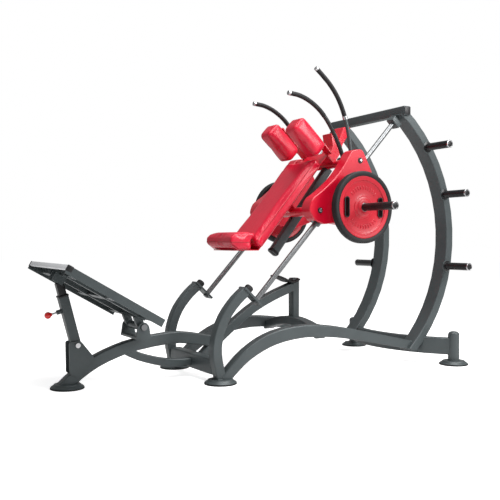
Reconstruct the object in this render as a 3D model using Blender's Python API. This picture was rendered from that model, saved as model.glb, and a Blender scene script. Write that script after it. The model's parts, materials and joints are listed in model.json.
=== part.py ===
"""Plate-loaded leg press: a sled with a back pad rides on two inclined guide rods above a foot plate.

Everything is modelled in machine coordinates, in metres: X runs from the foot plate towards the uprights,
+Z is up, and X = 0 lies between the two middle feet. An empty then moves the whole machine so that its box
is centred on X = 0. The user's left hand is on the -Y side.
"""

import math

import bmesh
import bpy
from mathutils import Matrix, Vector

for leftover in list(bpy.data.objects):
    bpy.data.objects.remove(leftover, do_unlink=True)

# Driving dimensions.
TOUCH = 0.0003  # space left between two pieces that meet
MACHINE_SHIFT = -0.4326  # from the middle feet to the middle of the machine's box
SIDES = {"left": -1, "right": 1}

ROD_ANGLE = math.radians(46.8)
ROD_FOOT = (0.221, 0.454)  # X, Z of the rods' reference point at their lower end
ROD_Y = 0.315
ROD_RADIUS = 0.016
ROD_LENGTH = 1.60

FOOT_RADIUS = 0.095
FOOT_TOP = 0.028
FRONT_FOOT_X = -0.80
REAR_FOOT = (1.65, 0.525)

UPRIGHT_CENTRE = (0.742, 0.85)  # X, Z of the centre of the uprights' arc
UPRIGHT_RADIUS = 1.02
UPRIGHT_Y = 0.325
UPRIGHT_WIDTH = 0.11
UPRIGHT_DEPTH = 0.06
PEG_ANGLES = (36.9, 16.8, -11.4)  # the storage pegs, in degrees round the uprights' arc
TOP_BAR = (1.351, 1.682)
CROSSBEAM_X = 0.715

BEAM_RADIUS = 0.79  # the rear beam's bow, seen from above
BEAM_FRONT_X = 1.45
BEAM_HEIGHT = 0.112
BEAM_THICK = 0.052
BEAM_Z = 0.122

BRACKET_INNER_Y = 0.27
BRACKET_OUTER_Y = 0.36
BEARING_RADIUS = 0.03
UPPER_TUBE = (1.165, 0.045)  # along the rods, across the rods
UPPER_TUBE_RADIUS = 0.025
LOWER_TUBE = (0.72, 0.045)
LOWER_TUBE_RADIUS = 0.03
STOP_TUBE = (0.993, -0.235)
STOP_TUBE_RADIUS = 0.027

PAD_START = 0.33  # back pad, along the rods
PAD_END = 1.05
PAD_RISE = 0.11  # pad underside above the rods at its lower end
PAD_SLOPE = 0.047
PAD_THICK = 0.07
PAD_HALF_WIDTH = 0.17
SHOULDER_BASE = 0.222  # the shoulder pads' lower ends, across the rods
SHEET = 0.006

HORN = (0.903, -0.117)
HORN_RADIUS = 0.0245
HORN_TIP_Y = 0.765
PLATE_RADIUS = 0.225
PLATE_INNER_Y = 0.434
PLATE_THICK = 0.05
GRIP_OFFSET = 0.135  # the weight plate's two grip slots, from its centre

LEVER_Y = -0.25
LEVER_RADIUS = 0.0145
LEVER_HUB_RADIUS = 0.042
HANDLE_Y = 0.21
HANDLE_RADIUS = 0.015

STEP_ANGLE = math.radians(30.0)  # the foot plate's slope
STEP_MIDDLE = (-0.637, 0.548)
STEP_LENGTH = 0.61
STEP_HALF_WIDTH = 0.38
STEP_SKIRT = 0.045
STEP_LIP = 0.022
STEP_HINGE = (-0.395, 0.33)
STEP_PIN_RADIUS = 0.0125
EAR_INNER_Y = 0.113
EAR_OUTER_Y = 0.125
POST_PIVOT = (-0.753, 0.242)
POST_HEAD = (-0.849, 0.606)
GUSSET_INNER_Y = 0.0295
GUSSET_OUTER_Y = 0.0395
BOLT_RADIUS = 0.008
POST_HALF = 0.027
POST_WALL = 0.004
PIN_HEIGHT = 0.205  # the pull pin, above the post's pivot
PIN_RADIUS = 0.0055
KNOB_RADIUS = 0.019


# Places.
def on_rods(u, v, y=0.0):
    """A point u along the guide rods and v above them, towards the user."""
    cos, sin = math.cos(ROD_ANGLE), math.sin(ROD_ANGLE)
    return Vector((ROD_FOOT[0] + u * cos - v * sin, y, ROD_FOOT[1] + u * sin + v * cos))


def under_step(along, below, y=0.0):
    """A point on the foot plate: along its slope from the middle, uphill, and below its top face."""
    cos, sin = math.cos(STEP_ANGLE), math.sin(STEP_ANGLE)
    x = STEP_MIDDLE[0] - along * cos - below * sin
    z = STEP_MIDDLE[1] + along * sin - below * cos
    return Vector((x, y, z))


def along_post(distance, forward=0.0, y=0.0):
    """A point on the telescopic post: distance above its pivot, forward towards the machine's front."""
    up = Vector((POST_HEAD[0] - POST_PIVOT[0], 0.0, POST_HEAD[1] - POST_PIVOT[1])).normalized()
    front = Vector((-up.z, 0.0, up.x))
    return Vector((POST_PIVOT[0], y, POST_PIVOT[1])) + up * distance + front * forward


def pad_underside(u):
    return PAD_RISE + PAD_SLOPE * (u - PAD_START)


# Shape helpers.
def to_object(name, bm):
    bmesh.ops.recalc_face_normals(bm, faces=bm.faces)
    mesh = bpy.data.meshes.new(name)
    bm.to_mesh(mesh)
    bm.free()
    node = bpy.data.objects.new(name, mesh)
    bpy.context.scene.collection.objects.link(node)
    return node


def smooth_path(points, per_span):
    """Points on a Catmull-Rom curve through the given ones."""
    points = [Vector(p) for p in points]
    ends = [points[0] * 2 - points[1]] + points + [points[-1] * 2 - points[-2]]
    path = []
    for i in range(1, len(ends) - 2):
        a, b, c, d = ends[i - 1 : i + 3]
        for step in range(per_span):
            t = step / per_span
            bend = (2 * a - 5 * b + 4 * c - d) * t**2
            twist = (3 * b - a - 3 * c + d) * t**3
            path.append(0.5 * (2 * b + (c - a) * t + bend + twist))
    return path + [points[-1]]


def arc_path(centre, radius, start, end, steps):
    """Points on a flat arc, from start to end degrees."""
    angles = [math.radians(start + (end - start) * i / steps) for i in range(steps + 1)]
    return [(centre[0] + radius * math.cos(a), centre[1] + radius * math.sin(a)) for a in angles]


def box_section(width, depth, corner=0.008):
    """A rectangle with rounded corners, as (across, depth) offsets."""
    section = []
    for quarter in range(4):
        angle = math.radians(90 * quarter)
        sign_a = 1 if quarter in (0, 3) else -1
        sign_b = 1 if quarter in (0, 1) else -1
        middle = (sign_a * (width / 2 - corner), sign_b * (depth / 2 - corner))
        for turn in (0.0, 0.25 * math.pi, 0.5 * math.pi):
            across = middle[0] + corner * math.cos(angle + turn)
            section.append((across, middle[1] + corner * math.sin(angle + turn)))
    return section


def round_section(radius, sides):
    turns = [2 * math.pi * i / sides for i in range(sides)]
    return [(radius * math.cos(t), radius * math.sin(t)) for t in turns]


def sweep(name, path, section, across=(0, 1, 0), swell=None):
    """Runs a closed section along a path. swell(t) scales the section's depth along the way."""
    across = Vector(across)
    bm = bmesh.new()
    rings = []
    for i, point in enumerate(path):
        tangent = (path[min(i + 1, len(path) - 1)] - path[max(i - 1, 0)]).normalized()
        side = (across - tangent * across.dot(tangent)).normalized()
        normal = tangent.cross(side)
        scale = swell(i / (len(path) - 1)) if swell else 1.0
        rings.append([bm.verts.new(point + side * a + normal * (b * scale)) for a, b in section])
    count = len(section)
    for low, high in zip(rings, rings[1:]):
        for k in range(count):
            bm.faces.new((low[k], low[(k + 1) % count], high[(k + 1) % count], high[k]))
    bm.faces.new(rings[0])
    bm.faces.new(rings[-1])
    return to_object(name, bm)


def turned(name, profile, base, axis, sides=24):
    """A solid of revolution: profile holds (radius, height) pairs along axis, measured from base.

    A profile that starts and ends at radius 0 is closed at its poles, and any other is closed as a ring.
    """
    base, axis = Vector(base), Vector(axis).normalized()
    side = axis.orthogonal().normalized()
    other = axis.cross(side)
    spokes = [side * a + other * b for a, b in round_section(1.0, sides)]
    bm = bmesh.new()
    rings = []
    for radius, height in profile:
        points = spokes if radius > 0.0 else [Vector()]
        rings.append([bm.verts.new(base + axis * height + point * radius) for point in points])
    pairs = list(zip(rings, rings[1:]))
    if profile[0][0] > 0.0:
        pairs.append((rings[-1], rings[0]))
    for low, high in pairs:
        for k in range(sides):
            corners = [low[k % len(low)], low[(k + 1) % len(low)]]
            corners += [high[(k + 1) % len(high)], high[k % len(high)]]
            bm.faces.new(list(dict.fromkeys(corners)))
    return to_object(name, bm)


def rod(radius, low, high):
    """The profile of a plain cylinder from one height to another."""
    return [(0, low), (radius, low), (radius, high), (0, high)]


def headed_pin(half, head, radius, head_radius):
    """The profile of a pin with a head on each end: half is from the middle to each head's inner face."""
    profile = [(0, -half - head), (head_radius, -half - head), (head_radius, -half), (radius, -half)]
    profile += [(radius, half), (head_radius, half), (head_radius, half + head), (0, half + head)]
    return profile


def rounded(outline, radius, steps=3):
    """The outline, as 2-D points, with each corner replaced by a short curve."""
    result = []
    for i, corner in enumerate(outline):
        corner = Vector(corner)
        before, after = Vector(outline[i - 1]), Vector(outline[(i + 1) % len(outline)])
        reach = min(radius, 0.45 * (before - corner).length, 0.45 * (after - corner).length)
        start = corner + (before - corner).normalized() * reach
        end = corner + (after - corner).normalized() * reach
        for step in range(steps + 1):
            t = step / steps
            result.append(start * (1 - t) ** 2 + corner * (2 * t * (1 - t)) + end * t**2)
    return result


def prism(name, outline, place, low, high):
    """Extrudes a 2-D outline: place(a, b, depth) gives the 3-D point."""
    bm = bmesh.new()
    near = [bm.verts.new(place(p[0], p[1], low)) for p in outline]
    far = [bm.verts.new(place(p[0], p[1], high)) for p in outline]
    for k in range(len(outline)):
        j = (k + 1) % len(outline)
        bm.faces.new((near[k], near[j], far[j], far[k]))
    bm.faces.new(near)
    bm.faces.new(far)
    return to_object(name, bm)


def side_view(x, z, y):
    return Vector((x, y, z))


def block(name, low, high, place=side_view):
    """A box between two corners, given as (a, b, depth)."""
    outline = [(low[0], low[1]), (high[0], low[1]), (high[0], high[1]), (low[0], high[1])]
    return prism(name, outline, place, low[2], high[2])


def cut_off(node, point, normal):
    """Cuts the node by a plane, keeps the side that the normal points away from, and closes the cut."""
    bm = bmesh.new()
    bm.from_mesh(node.data)
    parts = bm.verts[:] + bm.edges[:] + bm.faces[:]
    bmesh.ops.bisect_plane(bm, geom=parts, plane_co=point, plane_no=normal, clear_outer=True, dist=1e-6)
    bmesh.ops.holes_fill(bm, edges=[e for e in bm.edges if e.is_boundary])
    bmesh.ops.recalc_face_normals(bm, faces=bm.faces)
    bm.to_mesh(node.data)
    bm.free()


def combine(node, other, operation, grow=0.0):
    """Applies a Boolean of the other object, grown by a little, to the node."""
    tool = bpy.data.objects.new("tool", other.data.copy())
    bpy.context.scene.collection.objects.link(tool)
    if grow:
        bm = bmesh.new()
        bm.from_mesh(tool.data)
        moves = [v.normal * (grow * v.calc_shell_factor()) for v in bm.verts]
        for vert, move in zip(bm.verts, moves):
            vert.co += move
        bm.to_mesh(tool.data)
        bm.free()
    modifier = node.modifiers.new("combine", "BOOLEAN")
    modifier.operation = operation
    modifier.solver = "EXACT"
    modifier.object = tool
    graph = bpy.context.evaluated_depsgraph_get()
    result = bpy.data.meshes.new_from_object(node.evaluated_get(graph))
    node.modifiers.clear()
    node.data = result
    bpy.data.objects.remove(tool, do_unlink=True)


def keep_largest(node):
    """Drops the small offcuts that a cut leaves."""
    bm = bmesh.new()
    bm.from_mesh(node.data)
    bm.verts.ensure_lookup_table()
    unseen = set(bm.verts)
    groups = []
    while unseen:
        group = {unseen.pop()}
        edge = list(group)
        while edge:
            vert = edge.pop()
            for link in vert.link_edges:
                other = link.other_vert(vert)
                if other in unseen:
                    unseen.discard(other)
                    group.add(other)
                    edge.append(other)
        groups.append(group)
    largest = max(groups, key=len)
    doomed = [v for v in bm.verts if v not in largest]
    bmesh.ops.delete(bm, geom=doomed, context="VERTS")
    bm.to_mesh(node.data)
    bm.free()


def carve(node, *others, grow=TOUCH):
    """Cuts the node back from pieces it meets, leaves the gap between them, and drops what is cut loose."""
    for other in others:
        combine(node, other, "DIFFERENCE", grow)
    keep_largest(node)


def weld(node, *others):
    """Joins other solids onto the node and removes them."""
    for other in others:
        combine(node, other, "UNION")
        bpy.data.objects.remove(other, do_unlink=True)


def bore(node, *cutters):
    """Cuts holes in the node and removes the cutters."""
    for cutter in cutters:
        combine(node, cutter, "DIFFERENCE")
        bpy.data.objects.remove(cutter, do_unlink=True)


def soften(node, width, segments=1):
    """Bevels every edge that turns a real corner."""
    bm = bmesh.new()
    bm.from_mesh(node.data)
    corners = [e for e in bm.edges if e.calc_face_angle(0.0) > math.radians(50)]
    bmesh.ops.bevel(bm, geom=corners, offset=width, segments=segments, profile=0.5, affect="EDGES")
    bm.to_mesh(node.data)
    bm.free()


# Base frame.
def make_feet():
    """Five broad discs: one under the front end, two in the middle and two at the back."""
    profile = [(0, 0), (FOOT_RADIUS - 0.004, 0), (FOOT_RADIUS, 0.004), (FOOT_RADIUS, 0.013)]
    profile += [(0.072, FOOT_TOP), (0, FOOT_TOP)]
    places = {"front_foot": (FRONT_FOOT_X, 0.0)}
    for side, sign in SIDES.items():
        places[f"middle_foot_{side}"] = (0.0, sign * ROD_Y)
        places[f"rear_foot_{side}"] = (REAR_FOOT[0], sign * REAR_FOOT[1])
    for name, (x, y) in places.items():
        turned(name, profile, (x, y, 0.0), (0, 0, 1), 20)


def stand_on_feet(node):
    """Cuts the node level just above the feet."""
    cut_off(node, (0, 0, FOOT_TOP + TOUCH), (0, 0, -1))


def make_front_frame():
    """The middle crossmember, the brace behind it, the spine up from the front foot, and the bow tube."""
    reach = ROD_Y - 0.03 - TOUCH
    crossmember = block("middle_crossmember", (-0.045, 0.05, -reach), (0.025, 0.14, reach))
    soften(crossmember, 0.008)

    route = [(-0.83, 0.004), (-0.745, 0.077), (-0.64, 0.140), (-0.52, 0.187), (-0.40, 0.218)]
    route += [(-0.19, 0.243), (-0.05, 0.234), (0.12, 0.200)]
    path = smooth_path([side_view(x, z, 0.0) for x, z in route], 2)
    spine = sweep("front_spine", path, box_section(0.06, 0.07))
    stand_on_feet(spine)

    route = [(0.01, 0.085), (0.105, 0.175), (0.19, 0.248), (0.37, 0.378), (0.53, 0.459), (0.70, 0.522)]
    path = smooth_path([side_view(x, z, 0.0) for x, z in route], 3)
    brace = sweep("centre_brace", path, box_section(0.06, 0.058))
    carve(brace, crossmember)
    carve(spine, brace)

    route = [(-0.49, 0.205), (-0.381, 0.148), (-0.24, 0.105), (-0.12, 0.089), (-0.02, 0.091)]
    path = smooth_path([side_view(x, z, 0.0) for x, z in route], 3)
    bow = sweep("lower_bow_tube", path, box_section(0.05, 0.048))
    carve(bow, spine, crossmember)
    return brace, spine


def make_post_gussets(spine):
    """Two plates welded on the sides of the spine, and the telescopic post's pivot bolt through them."""
    profile = headed_pin(GUSSET_OUTER_Y + 0.001, 0.0105, BOLT_RADIUS, 0.014)
    bolt = turned("post_pivot_bolt", profile, side_view(*POST_PIVOT, 0.0), (0, 1, 0), 16)
    outline = [(-0.80, 0.262), (-0.735, 0.266), (-0.655, 0.165), (-0.75, 0.065), (-0.797, 0.085)]
    outline = rounded(outline, 0.012)
    for sign in SIDES.values():
        weld(spine, prism("gusset", outline, side_view, sign * GUSSET_INNER_Y, sign * GUSSET_OUTER_Y))
    carve(spine, bolt)


def make_step_hinge(spine):
    """A saddle on the spine with two ears, and the pin that the foot plate turns on."""
    hinge_x, hinge_z = STEP_HINGE
    low, high = (hinge_x - 0.045, 0.24, -EAR_OUTER_Y), (hinge_x + 0.045, 0.275, EAR_OUTER_Y)
    saddle = block("step_hinge_saddle", low, high)
    carve(saddle, spine)
    cut_off(saddle, (0, 0, 0.262), (0, 0, -1))
    half_ear = [(0.045, -0.066), (0.034, 0.006), (0.014, 0.027)]
    ear = half_ear + [(-x, z) for x, z in reversed(half_ear)]
    outline = [(hinge_x + x, hinge_z + z) for x, z in rounded(ear, 0.01, 2)]
    for sign in SIDES.values():
        weld(saddle, prism("ear", outline, side_view, sign * EAR_INNER_Y, sign * EAR_OUTER_Y))
    profile = headed_pin(EAR_OUTER_Y + 2 * TOUCH, 0.0115, STEP_PIN_RADIUS, 0.018)
    pin = turned("step_hinge_pin", profile, side_view(hinge_x, hinge_z, 0.0), (0, 1, 0), 20)
    carve(saddle, pin)


def make_legs():
    """Each leg curves up and back from a middle foot to a plate that holds the rod's end and a bumper."""
    route = [(0.004, 0.0), (-0.028, 0.135), (-0.032, 0.22), (-0.015, 0.30), (0.020, 0.38)]
    route += [(0.073, 0.450), (0.130, 0.505), (0.215, 0.567)]
    along = on_rods(1, 0) - on_rods(0, 0)
    for side, sign in SIDES.items():
        path = smooth_path([side_view(x, z, sign * ROD_Y) for x, z in route], 2)
        leg = sweep(f"leg_{side}", path, box_section(0.06, 0.06))
        stand_on_feet(leg)
        cut_off(leg, on_rods(0.014, 0.1), along)
        low, high = sign * (ROD_Y - 0.038), sign * (ROD_Y + 0.038)
        weld(leg, block("plate", (0.012, -0.034, low), (0.024, 0.122, high), on_rods))
        rod_start = on_rods(0.0, 0.0, sign * ROD_Y)
        bore(leg, turned("hole", rod(ROD_RADIUS + 2 * TOUCH, 0, 0.04), rod_start, along))
        rod_profile = [(0, 0), (ROD_RADIUS - 0.002, 0), (ROD_RADIUS, 0.002)]
        rod_profile += [(ROD_RADIUS, ROD_LENGTH), (0, ROD_LENGTH)]
        turned(f"guide_rod_{side}", rod_profile, rod_start, along)
        bumper_profile = [(0, 0), (0.026, 0), (0.026, 0.026), (0.02, 0.0335), (0, 0.0335)]
        turned(f"bumper_{side}", bumper_profile, on_rods(0.024 + TOUCH, 0.085, sign * ROD_Y), along)


def make_rear_frame():
    """The bowed rear beam with its two end posts, the curved uprights, and the bar across their tops."""
    centre = (BEAM_FRONT_X + BEAM_RADIUS, 0.0)
    half = math.degrees(math.asin(REAR_FOOT[1] / BEAM_RADIUS))
    bow = arc_path(centre, BEAM_RADIUS, 180 - half, 180 + half, 12)
    path = [Vector((x, y, BEAM_Z)) for x, y in bow]
    beam = sweep("rear_beam", path, box_section(BEAM_HEIGHT, BEAM_THICK, 0.01), across=(0, 0, 1))
    for sign in SIDES.values():
        base = (REAR_FOOT[0], sign * REAR_FOOT[1], FOOT_TOP + TOUCH)
        profile = [(0, 0), (0.0375, 0), (0.0375, 0.172), (0.033, 0.184), (0.02, 0.192), (0, 0.195)]
        weld(beam, turned("post", profile, base, (0, 0, 1), 16))

    bar_x, bar_z = TOP_BAR
    bar = block("top_bar", (bar_x - 0.03, bar_z - 0.03, -0.4), (bar_x + 0.03, bar_z + 0.03, 0.4))
    soften(bar, 0.006)
    for side, sign in SIDES.items():
        bend = arc_path(UPRIGHT_CENTRE, UPRIGHT_RADIUS, -48.5, 54.5, 16)
        path = [side_view(x, z, sign * UPRIGHT_Y) for x, z in bend]
        upright = sweep(f"upright_{side}", path, box_section(UPRIGHT_WIDTH, UPRIGHT_DEPTH))
        carve(upright, beam, bar)
        cut_off(upright, (0, 0, 0.09), (0, 0, -1))
        make_side_arch(side, sign, upright, beam)
        low, high = sign * (ROD_Y - 0.032), sign * (ROD_Y + 0.032)
        clamp = block(f"rod_clamp_{side}", (1.568, -0.04, low), (1.61, 0.036, high), on_rods)
        soften(clamp, 0.004)
        carve(clamp, bpy.data.objects[f"guide_rod_{side}"], grow=2 * TOUCH)
        carve(clamp, upright, bar)
        make_storage_pegs(side, sign)


def make_side_arch(side, sign, upright, beam):
    """The long low arch from a middle foot back to the upright, which swings out a little on its way."""
    route = [(0.012, 0.02), (0.125, 0.126), (0.215, 0.185), (0.31, 0.228), (0.42, 0.256)]
    route += [(0.57, 0.270), (0.74, 0.260), (0.90, 0.236), (1.10, 0.195), (1.30, 0.152), (1.52, 0.104)]
    spread = UPRIGHT_Y - ROD_Y
    points = [side_view(x, z, sign * (ROD_Y + spread * x / 1.5)) for x, z in route]
    arch = sweep(
        f"side_arch_{side}",
        smooth_path(points, 2),
        box_section(0.066, 0.06),
        swell=lambda t: 1.0 + 0.35 * math.sin(math.pi * t**0.7) ** 2,
    )
    stand_on_feet(arch)
    leg = bpy.data.objects[f"leg_{side}"]
    carve(arch, leg, bpy.data.objects["middle_crossmember"], upright, beam)


def make_storage_pegs(side, sign):
    """Three pegs on each upright hold spare weight plates."""
    profile = [(0, 0), (0.036, 0), (0.036, 0.008), (0.025, 0.010), (0.025, 0.2), (0.022, 0.207), (0, 0.208)]
    y = sign * (UPRIGHT_Y + UPRIGHT_WIDTH / 2 + TOUCH)
    for number, degrees in enumerate(PEG_ANGLES, start=1):
        x, z = arc_path(UPRIGHT_CENTRE, UPRIGHT_RADIUS - 0.012, degrees, degrees, 1)[0]
        turned(f"storage_peg_{side}_{number}", profile, (x, y, z), (0, sign, 0), 12)


def make_centre_stop(brace):
    """The middle cross-beam, its post, and the saddle that catches the sled's stop tube at the bottom."""
    half_route = [(0.31, 0.238), (0.16, 0.281)]
    route = [(-y, z) for y, z in half_route] + [(0.0, 0.298)] + list(reversed(half_route))
    path = smooth_path([(CROSSBEAM_X, y, z) for y, z in route], 3)
    beam = sweep("arch_crossbeam", path, box_section(0.08, 0.056), across=(1, 0, 0))
    carve(beam, bpy.data.objects["side_arch_left"], bpy.data.objects["side_arch_right"])

    route = [(0.343, -0.16), (0.362, -0.205), (0.373, -0.238)]
    route += [(0.389, -0.268), (0.41, -0.284), (0.436, -0.292)]
    path = smooth_path([on_rods(u, v) for u, v in route], 2)
    cradle = sweep("stop_cradle", path, box_section(0.11, 0.012, 0.003))

    post = block("post", (0.694, 0.29, -0.03), (0.748, 0.58, 0.03))
    soften(post, 0.008)
    carve(post, beam)
    weld(brace, post)
    carve(brace, cradle)


# Sled.
def make_side_brackets():
    """A deep red bracket on each rod: a channel right through it holds the bearing tube."""
    outline = [(1.174, 0.133), (1.235, 0.080), (1.187, -0.066), (1.125, -0.205), (1.06, -0.272)]
    outline += [(0.965, -0.277), (0.82, -0.20), (0.73, -0.073), (0.674, -0.03), (0.643, 0.045)]
    outline += [(0.662, 0.118), (0.725, 0.143), (0.815, 0.123), (0.935, 0.106), (1.03, 0.109), (1.12, 0.124)]
    along = on_rods(1, 0) - on_rods(0, 0)
    for side, sign in SIDES.items():
        low, high = sign * BRACKET_INNER_Y, sign * BRACKET_OUTER_Y
        bracket = prism(f"side_bracket_{side}", rounded(outline, 0.022, 2), on_rods, low, high)
        soften(bracket, 0.004)
        half = BEARING_RADIUS + 0.001
        channel_low = (0.6, -half, sign * ROD_Y - half)
        bore(bracket, block("channel", channel_low, (1.3, half, sign * ROD_Y + half), on_rods))
        inner = ROD_RADIUS + 2 * TOUCH
        profile = [(BEARING_RADIUS, 0), (BEARING_RADIUS, 0.552), (inner, 0.552), (inner, 0)]
        turned(f"bearing_tube_{side}", profile, on_rods(0.654, 0, sign * ROD_Y), along)
        make_horn(side, sign)


def make_horn(side, sign):
    """The loading horn, whose thick foot keeps the weight plate off the bracket, and the plate on it."""
    base = on_rods(*HORN, sign * (BRACKET_OUTER_Y + TOUCH))
    length = HORN_TIP_Y - BRACKET_OUTER_Y - TOUCH
    foot = PLATE_INNER_Y - BRACKET_OUTER_Y - 0.002
    profile = [(0, 0), (0.05, 0), (0.05, 0.01), (0.038, 0.014), (0.038, foot - 0.012)]
    profile += [(0.055, foot - 0.01), (0.055, foot), (HORN_RADIUS, foot)]
    profile += [(HORN_RADIUS, length - 0.008), (0.02, length), (0, length)]
    turned(f"horn_{side}", profile, base, (0, sign, 0), 20)

    base = on_rods(*HORN, sign * PLATE_INNER_Y)
    hole = HORN_RADIUS + 3 * TOUCH
    rim = PLATE_RADIUS
    profile = [(hole, 0), (rim - 0.006, 0), (rim, 0.006), (rim, PLATE_THICK - 0.006)]
    profile += [(rim - 0.006, PLATE_THICK), (hole, PLATE_THICK)]
    plate = turned(f"weight_plate_{side}", profile, base, (0, sign, 0), 32)
    grip = [(-0.016, -0.06), (0.016, -0.06), (0.016, 0.06), (-0.016, 0.06)]
    for forward in (-GRIP_OFFSET, GRIP_OFFSET):
        outline = [(base.x + forward + x, base.z + z) for x, z in rounded(grip, 0.014, 2)]
        bore(plate, prism("slot", outline, side_view, base.y - sign * 0.02, base.y + sign * 0.08))


def make_cross_tubes():
    """Three tubes tie the side brackets together. The lowest one lands in the cradle."""
    half = BRACKET_INNER_Y - TOUCH
    tubes = {
        "upper_cross_tube": (UPPER_TUBE, UPPER_TUBE_RADIUS),
        "lower_cross_tube": (LOWER_TUBE, LOWER_TUBE_RADIUS),
        "stop_tube": (STOP_TUBE, STOP_TUBE_RADIUS),
    }
    made = {}
    for name, (place, radius) in tubes.items():
        made[name] = turned(name, rod(radius, -half, half), on_rods(*place), (0, 1, 0))
    spine_path = [on_rods(0.437, -0.044), on_rods(1.158, 0.0225)]
    back_tube = sweep("back_tube", spine_path, box_section(0.05, 0.062, 0.012))
    carve(back_tube, made["upper_cross_tube"], made["lower_cross_tube"])
    return made


def make_pad_frame(tubes):
    """A bent sheet under the back pad and seat, on the cross tubes, with an arm behind each shoulder pad."""
    inner_top = on_rods(1.165, pad_underside(1.165) - TOUCH)
    outer_top = on_rods(1.165, pad_underside(1.165) - SHEET)
    pan_top = on_rods(PAD_START, pad_underside(PAD_START)).z - 2 * TOUCH
    slope = (inner_top - on_rods(PAD_START, pad_underside(PAD_START) - TOUCH)).normalized()
    corner_x = inner_top.x - slope.x / slope.z * (inner_top.z - pan_top)
    outer_x = outer_top.x - slope.x / slope.z * (outer_top.z - pan_top + SHEET)
    outline = [(0.19, pan_top - SHEET), (outer_x, pan_top - SHEET), (outer_top.x, outer_top.z)]
    outline += [(inner_top.x, inner_top.z), (corner_x, pan_top), (0.19, pan_top)]
    frame = prism("pad_frame", outline, side_view, -0.13, 0.13)
    middle = pad_underside(0.72) - SHEET / 2
    lower_stand = block("stand", (0.695, LOWER_TUBE[1], -0.06), (0.745, middle, 0.06), on_rods)
    carve(lower_stand, tubes["lower_cross_tube"])
    keep_above = on_rods(0.72, LOWER_TUBE[1] + 0.02)
    cut_off(lower_stand, keep_above, on_rods(0, -1) - on_rods(0, 0))
    base = pad_underside(1.15) - SHEET / 2
    upper_stand = block("stand", (1.15, UPPER_TUBE[1], -0.12), (1.1645, base, 0.12), on_rods)
    carve(upper_stand, tubes["upper_cross_tube"])
    cut_off(upper_stand, on_rods(1.16, UPPER_TUBE[1] + 0.012), on_rods(0, -1) - on_rods(0, 0))
    weld(frame, lower_stand, upper_stand)
    for sign in SIDES.values():
        weld(frame, block("arm", (1.1505, base, sign * 0.108), (1.1585, 0.42, sign * 0.172), on_rods))


def make_head_bracket(tubes):
    """A two-armed bracket on the upper cross tube, behind the neck."""
    outline = [(1.178, 0.03), (1.29, 0.044), (1.335, 0.070), (1.405, 0.080), (1.476, 0.106), (1.434, 0.147)]
    outline += [(1.338, 0.110), (1.360, 0.164), (1.326, 0.190), (1.272, 0.120), (1.178, 0.090)]
    bracket = prism("head_bracket", rounded(outline, 0.008, 2), on_rods, -0.05, 0.05)
    carve(bracket, tubes["upper_cross_tube"])


def make_pads():
    """Plain closed solids that fill the room of the cushions."""
    low, high = PAD_START, PAD_END
    outline = [(low, pad_underside(low)), (high, pad_underside(high))]
    outline += [(high, pad_underside(high) + PAD_THICK), (low, pad_underside(low) + PAD_THICK)]
    soften(prism("back_pad", outline, on_rods, -PAD_HALF_WIDTH, PAD_HALF_WIDTH), 0.018, 2)
    pan_top = on_rods(PAD_START, pad_underside(PAD_START)).z
    outline = [(0.200, pan_top), (0.148, 0.806), (0.150, 0.846), (0.178, 0.868), (0.337, 0.872)]
    outline += [(0.296, 0.826), (0.30, pan_top)]
    soften(prism("seat_pad", outline, side_view, -PAD_HALF_WIDTH, PAD_HALF_WIDTH), 0.008)
    for side, sign in SIDES.items():
        near, far = (1.022, SHOULDER_BASE, sign * 0.085), (1.145, 0.485, sign * 0.215)
        soften(block(f"shoulder_pad_{side}", near, far, on_rods), 0.028, 2)


def make_handles(tubes):
    """Curved bars that the hands hold above the shoulders."""
    route = [UPPER_TUBE, (1.205, 0.15), (1.245, 0.28), (1.260, 0.40), (1.246, 0.50)]
    route += [(1.211, 0.585), (1.158, 0.655)]
    for side, sign in SIDES.items():
        path = smooth_path([on_rods(u, v, sign * HANDLE_Y) for u, v in route], 2)
        handle = sweep(f"handle_{side}", path, round_section(HANDLE_RADIUS, 10))
        carve(handle, tubes["upper_cross_tube"])


def make_release_lever():
    """A long curved lever that turns on the upper cross tube."""
    pivot = on_rods(*UPPER_TUBE, LEVER_Y)
    route = [(pivot.x + 0.008, pivot.z + 0.032), (0.994, 1.416), (0.981, 1.510), (0.957, 1.600)]
    route += [(0.925, 1.682), (0.884, 1.755), (0.829, 1.822), (0.768, 1.876), (0.719, 1.915)]
    path = smooth_path([side_view(x, z, LEVER_Y) for x, z in route], 2)
    lever = sweep("release_lever", path, round_section(LEVER_RADIUS, 10))
    weld(lever, turned("hub", rod(LEVER_HUB_RADIUS, -0.0155, 0.0155), pivot, (0, 1, 0)))
    bore(lever, turned("hole", rod(UPPER_TUBE_RADIUS + 2 * TOUCH, -0.1, 0.1), pivot, (0, 1, 0)))


# Foot plate and its telescopic post.
def make_foot_plate():
    """A deck folded from sheet, deep at its two sides and shallow at its ends."""
    half, width, inside = STEP_LENGTH / 2, STEP_HALF_WIDTH, STEP_HALF_WIDTH - SHEET
    deck = block("foot_plate", (-half, 0, -width), (half, STEP_SKIRT, width), under_step)
    low, high = (SHEET - half, SHEET, -inside), (half - SHEET, 2 * STEP_SKIRT, inside)
    bore(deck, block("hollow", low, high, under_step))
    low, high = (-2 * half, STEP_LIP, TOUCH - inside), (2 * half, 3 * STEP_SKIRT, inside - TOUCH)
    bore(deck, block("ends", low, high, under_step))


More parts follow.
